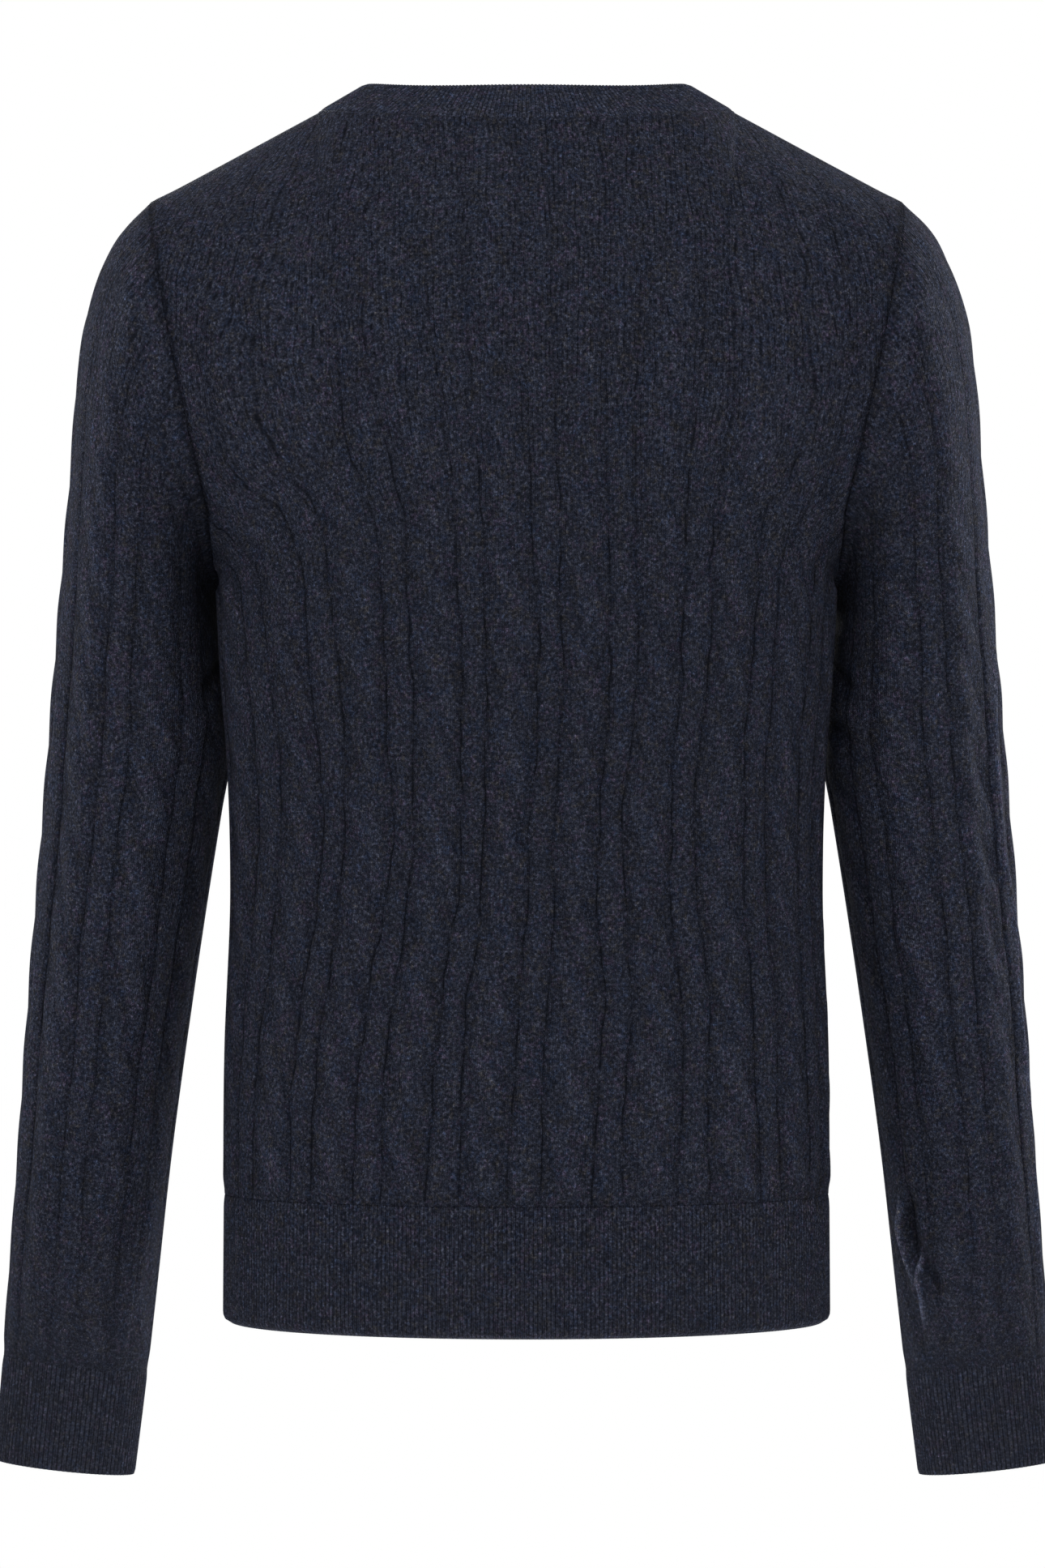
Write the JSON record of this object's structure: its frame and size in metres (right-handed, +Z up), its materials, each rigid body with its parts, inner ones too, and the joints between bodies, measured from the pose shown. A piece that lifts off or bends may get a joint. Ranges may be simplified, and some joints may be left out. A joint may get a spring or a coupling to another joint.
{
  "type": "cable knit cardigan",
  "caption": "V-neck cable knit cardigan in worn form with nobody in it: cabled body and sleeves, ribbed hem, cuffs and neckband, and button bands fastened with plain buttons.",
  "frame": {"origin": "middle of the neck opening at the height of the back neck seam, where the wearer's shoulders hold the cardigan", "axes": "+Z up, the fronts face -Y, the wearer's left is +X"},
  "size_m": [0.59, 0.237, 0.7658],
  "materials": {
    "wool_knit": "very dark navy melange wool, matte, cable knit",
    "rib_knit": "the same yarn in a fine 1x1 rib",
    "button_horn": "dark horn-like plastic, satin"
  },
  "bodies": {
    "root": {"back": "wool_knit", "front_left": "wool_knit", "front_right": "wool_knit", "sleeve_left": "wool_knit", "sleeve_right": "wool_knit", "neckband": "rib_knit", "band_left": "rib_knit", "band_right": "rib_knit", "button_1": "button_horn", "button_2": "button_horn", "button_3": "button_horn", "button_4": "button_horn", "button_5": "button_horn", "button_6": "button_horn"}
  },
  "joints": []
}
